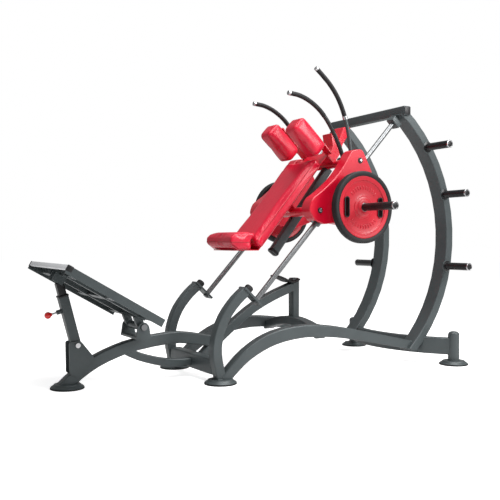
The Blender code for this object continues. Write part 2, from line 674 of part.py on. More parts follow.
def make_step_frame():
    """Bars welded under the deck, two lugs for the post's head, and the barrel that turns on the pin."""
    top, bottom = SHEET + TOUCH, 0.036
    frame = block("step_frame", (-0.29, top, -0.165), (0.24, bottom, -0.135), under_step)
    bars = [block("bar", (-0.29, top, 0.135), (0.24, bottom, 0.165), under_step)]
    for along in (-0.265, -0.03, 0.215):
        low, high = (along - 0.018, top + 0.001, -0.34), (along + 0.018, bottom - 0.004, 0.34)
        bars.append(block("bar", low, high, under_step))
    arm = [(-0.28, 0.012), (-0.25, 0.012), (-0.25, 0.045), (-0.30, 0.085), (-0.325, 0.085), (-0.335, 0.055)]
    for sign in SIDES.values():
        low, high = (0.19, bottom - 0.02, sign * 0.034), (0.255, 0.075, sign * 0.044)
        bars.append(block("lug", low, high, under_step))
        bars.append(prism("arm", arm, under_step, sign * 0.075, sign * 0.1))
    weld(frame, *bars)
    centre = side_view(*STEP_HINGE, 0.0)
    weld(frame, turned("barrel", rod(0.0225, -0.11, 0.11), centre, (0, 1, 0), 20))
    bore(frame, turned("hole", rod(STEP_PIN_RADIUS + 2 * TOUCH, -0.15, 0.15), centre, (0, 1, 0), 20))


def make_post():
    """The telescopic post: a square tube on the pivot bolt, one that slides inside it, and a pull pin."""
    half, inner = POST_HALF, POST_HALF - POST_WALL
    outer = block("post_outer", (-0.03, -half, -half), (0.285, half, half), along_post)
    soften(outer, 0.004)
    face = along_post(PIN_HEIGHT, half)
    front = along_post(0, 1) - along_post(0, 0)
    weld(outer, turned("boss", rod(0.013, -0.002, 0.028), face, front, 16))
    bore(outer, block("hollow", (0.022, -inner, -inner), (0.4, inner, inner), along_post))
    bore(outer, turned("hole", rod(PIN_RADIUS + TOUCH, inner - half - 0.005, 0.06), face, front, 12))
    carve(outer, bpy.data.objects["post_pivot_bolt"], grow=2 * TOUCH)

    slider = block("post_inner", (0.085, -0.0215, -0.0215), (0.362, 0.0215, 0.0215), along_post)
    soften(slider, 0.003)

    root, knob = inner - half + 0.001, 0.078
    profile = [(0, root), (PIN_RADIUS, root), (PIN_RADIUS, knob - 0.018), (0.010, knob - 0.016)]
    profile += arc_path((0.0, knob), KNOB_RADIUS, -58, 65, 5) + [(0, knob + KNOB_RADIUS)]
    turned("pull_pin", profile, face, front, 12)


# Assembly.
def paint(name, colour, roughness, metallic):
    material = bpy.data.materials.new(name)
    material.use_nodes = True
    shader = material.node_tree.nodes["Principled BSDF"]
    shader.inputs["Base Color"].default_value = (*colour, 1.0)
    shader.inputs["Roughness"].default_value = roughness
    shader.inputs["Metallic"].default_value = metallic
    return material


def make_materials():
    return {
        "frame_paint": paint("frame_paint", (0.075, 0.085, 0.09), 0.42, 0.3),
        "sled_paint": paint("sled_paint", (0.60, 0.006, 0.025), 0.35, 0.0),
        "upholstery": paint("upholstery", (0.62, 0.010, 0.035), 0.45, 0.0),
        "plate_paint": paint("plate_paint", (0.62, 0.015, 0.03), 0.4, 0.0),
        "chrome": paint("chrome", (0.72, 0.72, 0.72), 0.15, 1.0),
        "black_rubber": paint("black_rubber", (0.015, 0.015, 0.016), 0.7, 0.0),
        "black_paint": paint("black_paint", (0.02, 0.02, 0.022), 0.4, 0.2),
        "knob_red": paint("knob_red", (0.65, 0.01, 0.01), 0.3, 0.0),
    }


SLED_NODES = ["upper_cross_tube", "lower_cross_tube", "stop_tube", "back_tube"]
SLED_NODES += ["pad_frame", "head_bracket", "back_pad", "seat_pad"]
for sled_pair in ("side_bracket", "bearing_tube", "horn", "shoulder_pad", "handle"):
    SLED_NODES += [f"{sled_pair}_{side}" for side in SIDES]

# What each node's name starts with, and its material. Anything else is frame paint.
FINISHES = {
    "side_bracket": "sled_paint",
    "upper_cross_tube": "sled_paint",
    "lower_cross_tube": "sled_paint",
    "stop_tube": "chrome",
    "bearing_tube": "chrome",
    "pad_frame": "sled_paint",
    "head_bracket": "sled_paint",
    "back_pad": "upholstery",
    "seat_pad": "upholstery",
    "shoulder_pad": "upholstery",
    "weight_plate": "plate_paint",
    "guide_rod": "chrome",
    "step_hinge_pin": "chrome",
    "post_pivot_bolt": "chrome",
    "bumper": "black_rubber",
    "stop_cradle": "black_rubber",
    "handle": "black_paint",
    "horn": "black_paint",
    "storage_peg": "black_paint",
    "post_inner": "black_paint",
    "pull_pin": "knob_red",
}


def pivot(name, place, parent):
    empty = bpy.data.objects.new(name, None)
    bpy.context.scene.collection.objects.link(empty)
    empty.parent = parent
    empty.matrix_parent_inverse = Matrix.Translation(-Vector(places_of_pivots[parent.name]))
    empty.location = place
    places_of_pivots[name] = place
    return empty


places_of_pivots = {"machine": (0, 0, 0)}


def hang(names, empty):
    """Parents nodes to a pivot without moving them."""
    for name in names:
        node = bpy.data.objects[name]
        node.parent = empty
        node.matrix_parent_inverse = Matrix.Translation(-Vector(places_of_pivots[empty.name]))


def assemble():
    """Puts every moving node under an empty on its joint's axis, and the rest under the machine's own."""
    nodes = [node.name for node in bpy.data.objects]
    machine = bpy.data.objects.new("machine", None)
    bpy.context.scene.collection.objects.link(machine)
    machine.location = (MACHINE_SHIFT, 0, 0)

    sled = pivot("sled_axis", on_rods(0.65, 0), machine)
    step = pivot("step_axis", side_view(*STEP_HINGE, 0), machine)
    post = pivot("post_axis", side_view(*POST_PIVOT, 0), machine)
    moving = {"release_lever": pivot("lever_axis", on_rods(*UPPER_TUBE, LEVER_Y), sled)}
    for side, sign in SIDES.items():
        place = on_rods(*HORN, sign * PLATE_INNER_Y)
        moving[f"weight_plate_{side}"] = pivot(f"plate_axis_{side}", place, sled)
    moving["post_inner"] = pivot("slider_axis", along_post(0.2), post)
    moving["pull_pin"] = pivot("pin_axis", along_post(PIN_HEIGHT, POST_HALF), post)
    hang(SLED_NODES, sled)
    hang(["foot_plate", "step_frame"], step)
    hang(["post_outer"], post)
    for name, empty in moving.items():
        hang([name], empty)
    hang([name for name in nodes if bpy.data.objects[name].parent is None], machine)

    materials = make_materials()
    for name in nodes:
        node = bpy.data.objects[name]
        finish = next((slot for start, slot in FINISHES.items() if name.startswith(start)), "frame_paint")
        node.data.materials.clear()
        node.data.materials.append(materials[finish])
        node.data.shade_smooth()
        node.data.set_sharp_from_angle(angle=math.radians(35))


def main():
    make_feet()
    brace, spine = make_front_frame()
    make_post_gussets(spine)
    make_step_hinge(spine)
    make_legs()
    make_rear_frame()
    make_centre_stop(brace)
    make_side_brackets()
    tubes = make_cross_tubes()
    make_pad_frame(tubes)
    make_head_bracket(tubes)
    make_pads()
    make_handles(tubes)
    make_release_lever()
    make_foot_plate()
    make_step_frame()
    make_post()
    assemble()


main()
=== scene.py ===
"""The looks of a plate-loaded leg press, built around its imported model.

The sections follow the machine as it is put together: the studio, the welded frame, the guide rods, the sled
with its pads and handles, the weight plates, the foot plate and its post, and last the bolts.
"""

import json
import math

import bmesh
import bpy
from mathutils import Matrix, Vector

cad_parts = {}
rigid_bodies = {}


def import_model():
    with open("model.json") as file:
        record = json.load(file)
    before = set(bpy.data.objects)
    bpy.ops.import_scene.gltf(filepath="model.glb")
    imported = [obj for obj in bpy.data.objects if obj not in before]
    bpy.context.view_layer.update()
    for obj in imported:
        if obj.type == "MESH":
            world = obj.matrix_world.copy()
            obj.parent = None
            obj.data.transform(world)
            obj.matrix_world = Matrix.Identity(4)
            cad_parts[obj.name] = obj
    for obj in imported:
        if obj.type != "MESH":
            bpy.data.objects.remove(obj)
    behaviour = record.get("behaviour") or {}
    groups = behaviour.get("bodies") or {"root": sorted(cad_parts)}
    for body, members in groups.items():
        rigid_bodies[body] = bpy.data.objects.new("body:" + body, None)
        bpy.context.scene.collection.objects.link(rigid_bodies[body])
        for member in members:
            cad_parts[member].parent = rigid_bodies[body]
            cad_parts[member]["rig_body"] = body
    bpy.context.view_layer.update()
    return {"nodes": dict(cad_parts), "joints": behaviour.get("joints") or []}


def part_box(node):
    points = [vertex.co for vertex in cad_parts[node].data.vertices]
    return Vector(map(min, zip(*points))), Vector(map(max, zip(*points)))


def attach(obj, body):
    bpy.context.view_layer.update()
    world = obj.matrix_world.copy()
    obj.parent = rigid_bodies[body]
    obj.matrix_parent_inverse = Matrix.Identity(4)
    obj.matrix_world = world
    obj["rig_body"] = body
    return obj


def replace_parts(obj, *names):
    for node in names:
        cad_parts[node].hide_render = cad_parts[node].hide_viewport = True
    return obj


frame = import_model()

# Studio. A white room with one broad soft box overhead, a second one to the machine's left, and a pale floor
# that glows a little for the camera. The camera stands low, beyond the foot plate and to the left.
camera = bpy.data.objects.new("camera", bpy.data.cameras.new("camera"))
bpy.context.scene.collection.objects.link(camera)
camera.location = (-2.4166, -4.003, 0.822)
camera.rotation_euler = (math.radians(89.3), 0.0, math.radians(-30.6))
camera.data.lens = 52.4
camera.data.sensor_width = 36.0
bpy.context.scene.camera = camera
bpy.context.scene.view_settings.view_transform = "Standard"

room = bpy.data.worlds.new("white_room")
room.use_nodes = True
bpy.context.scene.world = room
room_tree = room.node_tree
seen_or_lit = room_tree.nodes.new("ShaderNodeLightPath")
brightness = room_tree.nodes.new("ShaderNodeMapRange")
brightness.inputs["To Min"].default_value = 0.33
brightness.inputs["To Max"].default_value = 1.0
room_tree.links.new(seen_or_lit.outputs["Is Camera Ray"], brightness.inputs["Value"])
room_tree.links.new(brightness.outputs["Result"], room_tree.nodes["Background"].inputs["Strength"])
room_tree.nodes["Background"].inputs["Color"].default_value = (1.0, 1.0, 1.0, 1.0)


def soft_box(name, place, target, width, height, power):
    lamp = bpy.data.lights.new(name, "AREA")
    lamp.shape = "RECTANGLE"
    lamp.size = width
    lamp.size_y = height
    lamp.energy = power
    light = bpy.data.objects.new(name, lamp)
    light.location = place
    light.rotation_euler = (Vector(target) - Vector(place)).to_track_quat("-Z", "Y").to_euler()
    bpy.context.scene.collection.objects.link(light)


soft_box("overhead_box", (0.6, -1.2, 4.6), (0.0, 0.0, 0.6), 4.5, 3.0, 250.0)
soft_box("left_box", (2.6, -3.8, 3.0), (0.8, -0.3, 1.2), 1.8, 1.8, 150.0)

floor_mesh = bpy.data.meshes.new("floor")
floor_shape = bmesh.new()
bmesh.ops.create_circle(floor_shape, cap_ends=True, segments=96, radius=30.0)
floor_shape.to_mesh(floor_mesh)
floor_shape.free()
floor = bpy.data.objects.new("floor", floor_mesh)
bpy.context.scene.collection.objects.link(floor)
floor_paint = bpy.data.materials.new("pale_floor")
floor_paint.use_nodes = True
floor_shader = floor_paint.node_tree.nodes["Principled BSDF"]
floor_shader.inputs["Base Color"].default_value = (0.93, 0.93, 0.93, 1.0)
floor_shader.inputs["Roughness"].default_value = 0.9
floor_shader.inputs["Specular IOR Level"].default_value = 0.1
floor_shader.inputs["Emission Color"].default_value = (1.0, 1.0, 1.0, 1.0)
floor_tree = floor_paint.node_tree
floor_glow = floor_tree.nodes.new("ShaderNodeMath")
floor_glow.operation = "MULTIPLY"
floor_glow.inputs[1].default_value = 0.70
seen_by = floor_tree.nodes.new("ShaderNodeLightPath")
floor_tree.links.new(seen_by.outputs["Is Camera Ray"], floor_glow.inputs[0])
floor_tree.links.new(floor_glow.outputs["Value"], floor_shader.inputs["Emission Strength"])
floor_mesh.materials.append(floor_paint)


# Welded frame. Every tube of the base, the legs and the uprights is bent steel section, shot-blasted, powder
# coated in slate grey and baked, which leaves a fine orange peel and slightly uneven gloss.
def coated(
    name, colour, roughness, metallic=0.0, coat=0.0, peel=0.12, peel_scale=700.0, drift=0.10, specular=0.5
):
    """A sprayed, dipped or moulded finish: its colour and gloss drift a little over a fine uneven surface."""
    material = bpy.data.materials.new(name)
    material.use_nodes = True
    tree = material.node_tree
    shader = tree.nodes["Principled BSDF"]
    shader.inputs["Metallic"].default_value = metallic
    shader.inputs["Coat Weight"].default_value = coat
    shader.inputs["Coat Roughness"].default_value = 0.18
    shader.inputs["Specular IOR Level"].default_value = specular
    place = tree.nodes.new("ShaderNodeTexCoord")

    def noise(scale, detail):
        pattern = tree.nodes.new("ShaderNodeTexNoise")
        pattern.inputs["Scale"].default_value = scale
        pattern.inputs["Detail"].default_value = detail
        tree.links.new(place.outputs["Object"], pattern.inputs["Vector"])
        return pattern.outputs["Fac"]

    ramp = tree.nodes.new("ShaderNodeValToRGB")
    ramp.color_ramp.elements[0].position = 0.3
    ramp.color_ramp.elements[1].position = 0.7
    ramp.color_ramp.elements[0].color = (*[c * (1 - drift) for c in colour], 1.0)
    ramp.color_ramp.elements[1].color = (*[min(1.0, c * (1 + drift)) for c in colour], 1.0)
    tree.links.new(noise(6.0, 4.0), ramp.inputs["Fac"])
    tree.links.new(ramp.outputs["Color"], shader.inputs["Base Color"])

    gloss = tree.nodes.new("ShaderNodeMapRange")
    gloss.inputs["To Min"].default_value = max(0.03, roughness - 0.07)
    gloss.inputs["To Max"].default_value = roughness + 0.07
    tree.links.new(noise(38.0, 3.0), gloss.inputs["Value"])
    tree.links.new(gloss.outputs["Result"], shader.inputs["Roughness"])

    bump = tree.nodes.new("ShaderNodeBump")
    bump.inputs["Strength"].default_value = peel
    bump.inputs["Distance"].default_value = 0.0006
    tree.links.new(noise(peel_scale, 2.0), bump.inputs["Height"])
    tree.links.new(bump.outputs["Normal"], shader.inputs["Normal"])
    return material


def on_machine(piece, material, body, sharp=40.0):
    """Gives a finished piece its material and smooth shading, and bolts it to its body."""
    if piece.type == "MESH":
        piece.data.shade_smooth()
        piece.data.set_sharp_from_angle(angle=math.radians(sharp))
    piece.data.materials.clear()
    piece.data.materials.append(material)
    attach(piece, body)
    return piece


def welded_skin(name):
    """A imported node's loose triangles joined into one clean skin, as a new object."""
    skin = bmesh.new()
    skin.from_mesh(frame["nodes"][name].data)
    bmesh.ops.remove_doubles(skin, verts=skin.verts, dist=1e-5)
    bmesh.ops.dissolve_limit(skin, angle_limit=math.radians(0.2), verts=skin.verts, edges=skin.edges)
    mesh = bpy.data.meshes.new(f"{name}_skin")
    skin.to_mesh(mesh)
    skin.free()
    if "custom_normal" in mesh.attributes:
        mesh.attributes.remove(mesh.attributes["custom_normal"])
    piece = bpy.data.objects.new(f"{name}_skin", mesh)
    bpy.context.scene.collection.objects.link(piece)
    return piece


def finished(name, material, sharp=50.0):
    """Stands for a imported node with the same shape, its corner facets shaded as one round edge."""
    piece = welded_skin(name)
    on_machine(piece, material, frame["nodes"][name]["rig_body"], sharp)
    shading = piece.modifiers.new("shading", "WEIGHTED_NORMAL")
    shading.keep_sharp = True
    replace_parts(piece, name)
    return piece


slate = coated("slate_powder_coat", (0.062, 0.075, 0.078), 0.42, metallic=0.2, coat=0.12, specular=0.4)
for name in ("front_spine", "lower_bow_tube", "middle_crossmember", "centre_brace", "arch_crossbeam"):
    finished(name, slate)
for name in ("rear_beam", "top_bar", "step_hinge_saddle"):
    finished(name, slate)
for name in ("leg", "side_arch", "upright", "rod_clamp"):
    for side in ("left", "right"):
        finished(f"{name}_{side}", slate)


# Feet. Each is a turned steel disc in the frame's grey on a moulded rubber sole that grips the floor.
def placed(blank, base, axis, material, body, sharp=40.0):
    """Applies a blank's stack, then turns its Z axis to axis and sets it down at base."""
    graph = bpy.context.evaluated_depsgraph_get()
    mesh = bpy.data.meshes.new_from_object(blank.evaluated_get(graph))
    turn = Vector((0, 0, 1)).rotation_difference(Vector(axis)).to_matrix().to_4x4()
    mesh.transform(Matrix.Translation(Vector(base)) @ turn)
    blank.modifiers.clear()
    blank.data = mesh
    return on_machine(blank, material, body, sharp)


def turned(name, profile, base, axis, material, body, steps=40, ring=False):
    """A lathe-turned piece: (radius, height) pairs from its top down its outer side, measured along axis."""
    edges = [(i, i + 1) for i in range(len(profile) - 1)]
    if ring:
        edges.append((len(profile) - 1, 0))
    mesh = bpy.data.meshes.new(name)
    mesh.from_pydata([(radius, 0.0, height) for radius, height in profile], edges, [])
    blank = bpy.data.objects.new(name, mesh)
    bpy.context.scene.collection.objects.link(blank)
    lathe = blank.modifiers.new("lathe", "SCREW")
    lathe.steps = steps
    lathe.render_steps = steps
    lathe.use_merge_vertices = True
    lathe.merge_threshold = 1e-5
    return placed(blank, base, axis, material, body)


def round_nose(radius, height, corner, steps=5):
    """The (radius, height) pairs of a rounded top edge, from the flat top out and down to the side."""
    turns = [0.5 * math.pi * (1 - i / steps) for i in range(steps + 1)]
    return [(radius - corner + corner * math.cos(t), height - corner + corner * math.sin(t)) for t in turns]


rubber = coated(
    "black_rubber", (0.012, 0.012, 0.013), 0.58, peel=0.25, peel_scale=420.0, drift=0.2, specular=0.3
)
feet = ["front_foot"] + [f"{place}_foot_{side}" for place in ("middle", "rear") for side in ("left", "right")]
for name in feet:
    low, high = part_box(name)
    radius = (high.y - low.y) / 2 + 0.001
    ground = ((low.x + high.x) / 2, (low.y + high.y) / 2, 0.0)
    sole = [(0, 0.007), (radius, 0.007), (radius, 0.002), (radius - 0.003, 0.0), (0, 0.0)]
    turned(f"{name}_sole", sole, ground, (0, 0, 1), rubber, "frame")
    disc = [(0, high.z)] + round_nose(0.074, high.z, 0.003, 3)
    disc += [(radius - 0.009, 0.0165), (radius - 0.004, 0.0135), (radius - 0.002, 0.0105)]
    disc += [(radius - 0.003, 0.0072), (0, 0.0072)]
    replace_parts(turned(f"{name}_disc", disc, ground, (0, 0, 1), slate, "frame"), name)


# Weld beads. Where tubes and flanges meet, the welder's torch leaves a rippled fillet, coated with the rest.
def as_mesh(line, name):
    """The tube that a bevelled line makes, as a mesh object, in the line's place."""
    blank = bpy.data.objects.new(name, line)
    bpy.context.scene.collection.objects.link(blank)
    graph = bpy.context.evaluated_depsgraph_get()
    mesh = bpy.data.meshes.new_from_object(blank.evaluated_get(graph))
    bpy.data.objects.remove(blank)
    bpy.data.curves.remove(line)
    mesh.name = name
    piece = bpy.data.objects.new(name, mesh)
    bpy.context.scene.collection.objects.link(piece)
    return piece


def bead(name, points, body, material, closed=True, radius=0.0032, ripple=0.72):
    line = bpy.data.curves.new(name, "CURVE")
    line.dimensions = "3D"
    line.bevel_depth = radius
    line.bevel_resolution = 1
    run = line.splines.new("POLY")
    run.points.add(len(points) - 1)
    for i, point in enumerate(points):
        run.points[i].co = (*point, 1.0)
        run.points[i].radius = 1.0 if i % 2 else ripple
    run.use_cyclic_u = closed
    return on_machine(as_mesh(line, name), material, body, 180.0)


def ring_points(centre, axis, radius, count):
    axis = Vector(axis).normalized()
    side = axis.orthogonal().normalized()
    other = axis.cross(side)
    turns = [2 * math.pi * i / count for i in range(count)]
    return [Vector(centre) + (side * math.cos(t) + other * math.sin(t)) * radius for t in turns]


def loop_round(low, high, z, pitch=0.004):
    """Points round a level rectangle, a ripple apart."""
    corners = [(low.x, low.y), (high.x, low.y), (high.x, high.y), (low.x, high.y)]
    points = []
    for start, end in zip(corners, corners[1:] + corners[:1]):
        count = max(2, round(math.dist(start, end) / pitch))
        for i in range(count):
            share = i / count
            points.append((start[0] + (end[0] - start[0]) * share, start[1] + (end[1] - start[1]) * share, z))
    return points


def foot_of(name, height):
    """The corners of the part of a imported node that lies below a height."""
    corners = [v.co for v in frame["nodes"][name].data.vertices if v.co.z < height]
    xs, ys = [c.x for c in corners], [c.y for c in corners]
    return Vector((min(xs), min(ys), 0)), Vector((max(xs), max(ys), 0))


for side in ("left", "right"):
    low, high = foot_of(f"leg_{side}", 0.03)
    foot_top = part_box(f"middle_foot_{side}")[1].z
    bead(f"leg_{side}_bead", loop_round(low, high, foot_top + 0.001), "frame", slate)
    post_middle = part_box(f"rear_foot_{side}")
    centre = (post_middle[0] + post_middle[1]) / 2
    ring = ring_points((centre.x, centre.y, foot_top + 0.001), (0, 0, 1), 0.0385, 60)
    bead(f"rear_post_{side}_bead", ring, "frame", slate)


# Tube plugs. Open tube ends are closed with moulded black plastic plugs that stand a little proud.
plastic = coated("black_plastic", (0.013, 0.013, 0.014), 0.38, peel=0.2, peel_scale=300.0, specular=0.35)


def plug(name, centre, normal, across, width, depth, body, material, proud=0.003):
    """A rectangular cap with rounded corners on a tube's end: width runs along across."""
    normal, across = Vector(normal).normalized(), Vector(across).normalized()
    other = normal.cross(across)
    shape = bmesh.new()
    bmesh.ops.create_cube(shape, size=1.0)
    bmesh.ops.scale(shape, verts=shape.verts, vec=(width, depth, proud * 2))
    mesh = bpy.data.meshes.new(name)
    shape.to_mesh(mesh)
    shape.free()
    blank = bpy.data.objects.new(name, mesh)
    bpy.context.scene.collection.objects.link(blank)
    corners = blank.modifiers.new("corners", "BEVEL")
    corners.width = proud * 0.9
    corners.segments = 3
    graph = bpy.context.evaluated_depsgraph_get()
    done = bpy.data.meshes.new_from_object(blank.evaluated_get(graph))
    turn = Matrix((across, other, normal)).transposed().to_4x4()
    done.transform(Matrix.Translation(Vector(centre)) @ turn)
    blank.modifiers.clear()
    blank.data = done
    return on_machine(blank, material, body)


bar_low, bar_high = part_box("top_bar")
bar_middle = (bar_low + bar_high) / 2
for side, sign in (("left", -1), ("right", 1)):
    end = (bar_middle.x, sign * bar_high.y, bar_middle.z)
    plug(f"top_bar_plug_{side}", end, (0, sign, 0), (1, 0, 0), 0.05, 0.05, "frame", plastic)


# Storage pegs and loading horns. Both are black-sleeved tubes on a welded flange, and a bright ring holds the
# plastic cap in their open end.
black_sleeve = coated(
    "black_sleeve", (0.010, 0.010, 0.011), 0.32, coat=0.1, peel=0.1, peel_scale=260.0, specular=0.35
)
chrome = coated("bright_chrome", (0.50, 0.50, 0.51), 0.24, metallic=1.0, peel=0.0, drift=0.03)


def end_cap(name, tip, outward, radius, body):
    """A bright ring and a domed cap, sunk into the open end of a tube."""
    ring = [(radius - 0.0005, 0.0012), (radius + 0.0006, 0.0), (radius + 0.0006, -0.007)]
    ring += [(radius - 0.002, -0.007), (radius - 0.0055, 0.0005), (radius - 0.004, 0.0016)]
    turned(f"{name}_ring", ring, tip, outward, chrome, body, ring=True)
    dome = [(0, 0.0022), (radius * 0.45, 0.0018), (radius - 0.005, -0.0002)]
    dome += [(radius - 0.005, -0.004), (0, -0.004)]
    turned(f"{name}_cap", dome, tip, outward, plastic, body)


PEG_RADIUS = 0.0248
for side, sign in (("left", -1), ("right", 1)):
    for number in (1, 2, 3):
        name = f"storage_peg_{side}_{number}"
        low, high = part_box(name)
        middle = (low + high) / 2
        inner_y, outer_y = sorted((low.y, high.y), key=abs)
        base = (middle.x, inner_y, middle.z)
        length = abs(outer_y - inner_y)
        profile = [(0, length - 0.003)] + round_nose(PEG_RADIUS - 0.001, length - 0.003, 0.004, 3)
        profile += [(PEG_RADIUS, length - 0.012), (PEG_RADIUS, 0.008), (0.036, 0.006), (0.036, 0.0), (0, 0.0)]
        peg = turned(name + "_sleeve", profile, base, (0, sign, 0), black_sleeve, "frame")
        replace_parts(peg, name)
        end_cap(name, (middle.x, outer_y - sign * 0.003, middle.z), (0, sign, 0), PEG_RADIUS, "frame")
        ring = ring_points((middle.x, inner_y + sign * 0.0015, middle.z), (0, 1, 0), 0.0365, 56)
        bead(name + "_bead", ring, "frame", slate)

HORN_RADIUS = 0.0245
for side, sign in (("left", -1), ("right", 1)):
    low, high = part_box(f"horn_{side}")
    plate_low, plate_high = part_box(f"weight_plate_{side}")
    middle = (plate_low + plate_high) / 2
    inner_y, tip_y = sorted((low.y, high.y), key=abs)
    shoulder = min(abs(plate_low.y), abs(plate_high.y)) - abs(inner_y) - 0.002
    length = abs(tip_y - inner_y)
    base = (middle.x, inner_y, middle.z)
    profile = [(0, length - 0.003)] + round_nose(HORN_RADIUS - 0.0006, length - 0.003, 0.004, 3)
    profile += [(HORN_RADIUS, length - 0.012), (HORN_RADIUS, shoulder), (0, shoulder)]
    horn = turned(f"horn_{side}_sleeve", profile, base, (0, sign, 0), black_sleeve, "sled")
    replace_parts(horn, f"horn_{side}")
    collar = [(0, shoulder)] + round_nose(0.054, shoulder, 0.003, 3)
    collar += [(0.054, shoulder - 0.009), (0.038, shoulder - 0.012), (0.038, 0.014), (0.042, 0.0105)]
    collar += round_nose(0.05, 0.0105, 0.002, 2) + [(0.05, 0.0), (0, 0.0)]
    turned(f"horn_{side}_collar", collar, base, (0, sign, 0), plastic, "sled")
    end_cap(f"horn_{side}", (middle.x, tip_y - sign * 0.003, middle.z), (0, sign, 0), HORN_RADIUS, "sled")


# Guide rods and their bumpers. The rods are ground and chromed steel bar, and each carries a rubber bumper on
# the leg's plate. A black saddle between the legs catches the sled.
rod_steel = coated("ground_rod_steel", (0.20, 0.205, 0.21), 0.40, metallic=1.0, peel=0.0, drift=0.06)
for side in ("left", "right"):
    finished(f"guide_rod_{side}", rod_steel, sharp=40.0)
    finished(f"bumper_{side}", rubber)
finished("stop_cradle", rubber)
slide = next(j for j in frame["joints"] if j["name"] == "sled_slide")
ALONG = Vector(slide["axis"])
ACROSS = Vector((-ALONG.z, 0.0, ALONG.x))
rod_low, rod_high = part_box("guide_rod_left")
ROD_MIDDLE = (rod_low + rod_high) / 2
ROD_Y = -ROD_MIDDLE.y
ROD_HALF = 0.8


def on_rods(u, v, y=0.0):
    """A point u along the guide rods from their lower end, and v above them."""
    point = ROD_MIDDLE + ALONG * (u - ROD_HALF) + ACROSS * v
    return Vector((point.x, y, point.z))


for side, sign in (("left", -1), ("right", 1)):
    ring = ring_points(on_rods(0.0245, 0.0, sign * ROD_Y), ALONG, 0.019, 36)
    bead(f"rod_seat_{side}_bead", ring, "frame", slate, radius=0.0026)


# Sled. Two brackets cut and folded from steel plate hold the bearing tubes, and cross tubes tie them
# together. The lot is powder coated in a deep gloss red, but the spine tube behind the pad is slate grey.
red = coated(
    "sled_red", (0.60, 0.003, 0.024), 0.30, coat=0.30, peel=0.10, peel_scale=650.0, drift=0.06, specular=0.4
)
for name in ("side_bracket_left", "side_bracket_right", "pad_frame", "head_bracket"):
    finished(name, red, sharp=40.0)
for name in ("upper_cross_tube", "lower_cross_tube"):
    finished(name, red, sharp=40.0)
finished("stop_tube", rod_steel, sharp=40.0)
finished("back_tube", slate, sharp=40.0)
for side in ("left", "right"):
    finished(f"bearing_tube_{side}", rod_steel, sharp=40.0)
for name, (u, v) in {"upper": (1.165, 0.045), "lower": (0.72, 0.045)}.items():
    low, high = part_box(f"{name}_cross_tube")
    tube_radius = (high.x - low.x) / 2
    for side, sign in (("left", -1), ("right", 1)):
        ring = ring_points(on_rods(u, v, sign * (high.y - 0.001)), (0, 1, 0), tube_radius + 0.001, 52)
        bead(f"{name}_tube_{side}_bead", ring, "sled", red)
for side, sign in (("left", -1), ("right", 1)):
    horn_middle = (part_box(f"horn_{side}")[0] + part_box(f"horn_{side}")[1]) / 2
    foot_y = sign * (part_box("side_bracket_right")[1].y + 0.001)
    ring = ring_points((horn_middle.x, foot_y, horn_middle.z), (0, 1, 0), 0.0505, 76)
    bead(f"horn_{side}_bead", ring, "sled", red)
tube_end = on_rods(0.437, -0.044)
tube_run = (on_rods(1.158, 0.0225) - tube_end).normalized()
boot_at = tube_end + tube_run * 0.012
plug("back_tube_boot", boot_at, -tube_run, (0, 1, 0), 0.056, 0.068, "sled", rubber, 0.014)


# Pads. Foam under grained red leatherette with a piped seam and a row of stitches. The back pad and the seat
# make one long run, and two thick blocks press on the shoulders. The side they are mounted on stays flat.
def leatherette():
    material = coated(
        "red_leatherette", (0.62, 0.006, 0.034), 0.34, coat=0.10, peel=0.0, drift=0.08, specular=0.4
    )
    tree = material.node_tree
    shader = tree.nodes["Principled BSDF"]
    shader.inputs["Sheen Weight"].default_value = 0.04
    shader.inputs["Sheen Roughness"].default_value = 0.35
    shader.inputs["Sheen Tint"].default_value = (1.0, 0.5, 0.55, 1.0)
    place = tree.nodes["Texture Coordinate"]
    grain = tree.nodes.new("ShaderNodeTexVoronoi")
    grain.inputs["Scale"].default_value = 520.0
    creases = tree.nodes.new("ShaderNodeTexNoise")
    creases.inputs["Scale"].default_value = 30.0
    creases.inputs["Detail"].default_value = 5.0
    tree.links.new(place.outputs["Object"], grain.inputs["Vector"])
    tree.links.new(place.outputs["Object"], creases.inputs["Vector"])
    fine = tree.nodes.new("ShaderNodeBump")
    fine.inputs["Strength"].default_value = 0.35
    fine.inputs["Distance"].default_value = 0.0005
    soft = tree.nodes.new("ShaderNodeBump")
    soft.inputs["Strength"].default_value = 0.22
    soft.inputs["Distance"].default_value = 0.0015
    tree.links.new(grain.outputs["Distance"], fine.inputs["Height"])
    tree.links.new(creases.outputs["Fac"], soft.inputs["Height"])
    tree.links.new(fine.outputs["Normal"], soft.inputs["Normal"])
    tree.links.new(soft.outputs["Normal"], shader.inputs["Normal"])
    return material


upholstery = leatherette()
piping = coated("piping_red", (0.42, 0.004, 0.016), 0.45, peel=0.2, peel_scale=900.0)
thread = coated("seam_thread", (0.50, 0.012, 0.03), 0.7, peel=0.3, peel_scale=1500.0)


